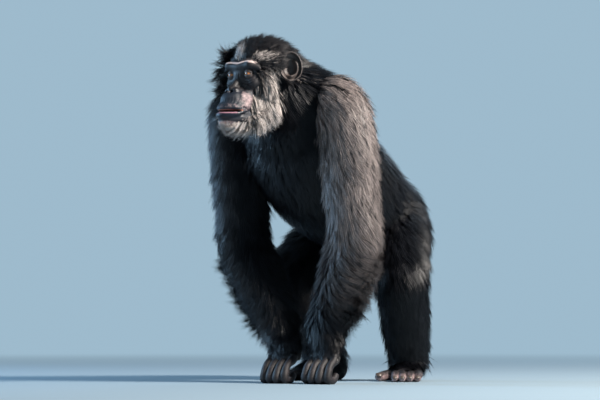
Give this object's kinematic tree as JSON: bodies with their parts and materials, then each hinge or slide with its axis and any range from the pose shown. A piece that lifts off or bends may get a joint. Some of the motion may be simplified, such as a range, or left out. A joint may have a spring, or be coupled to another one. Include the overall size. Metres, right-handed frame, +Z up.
{
  "type": "chimpanzee model",
  "caption": "Life-size still model of an adult chimpanzee that stands on its knuckles and soles and looks to its right.",
  "frame": {"origin": "on the floor, under the middle of the model's length and width", "axes": "+Z up, -Y the way the animal faces, +X to the animal's left"},
  "size_m": [0.532, 0.8156, 0.8801],
  "materials": {
    "coat": "long black hair, glossy",
    "skin": "bare dark skin, satin",
    "eye": "wet, clear"
  },
  "bodies": {
    "root": {"head": "skin", "neck": "coat", "torso": "coat", "ear_left": "skin", "ear_right": "skin", "eye_left": "eye", "eye_right": "eye", "upper_arm_left": "coat", "upper_arm_right": "coat", "forearm_left": "coat", "forearm_right": "coat", "hand_left": "skin", "hand_right": "skin", "finger_left_1": "skin", "finger_left_2": "skin", "finger_left_3": "skin", "finger_left_4": "skin", "finger_right_1": "skin", "finger_right_2": "skin", "finger_right_3": "skin", "finger_right_4": "skin", "thumb_left": "skin", "thumb_right": "skin", "thigh_left": "coat", "thigh_right": "coat", "shin_left": "coat", "shin_right": "coat", "foot_left": "skin", "foot_right": "skin", "toe_left_1": "skin", "toe_left_2": "skin", "toe_left_3": "skin", "toe_left_4": "skin", "toe_right_1": "skin", "toe_right_2": "skin", "toe_right_3": "skin", "toe_right_4": "skin", "big_toe_left": "skin", "big_toe_right": "skin"}
  },
  "joints": []
}
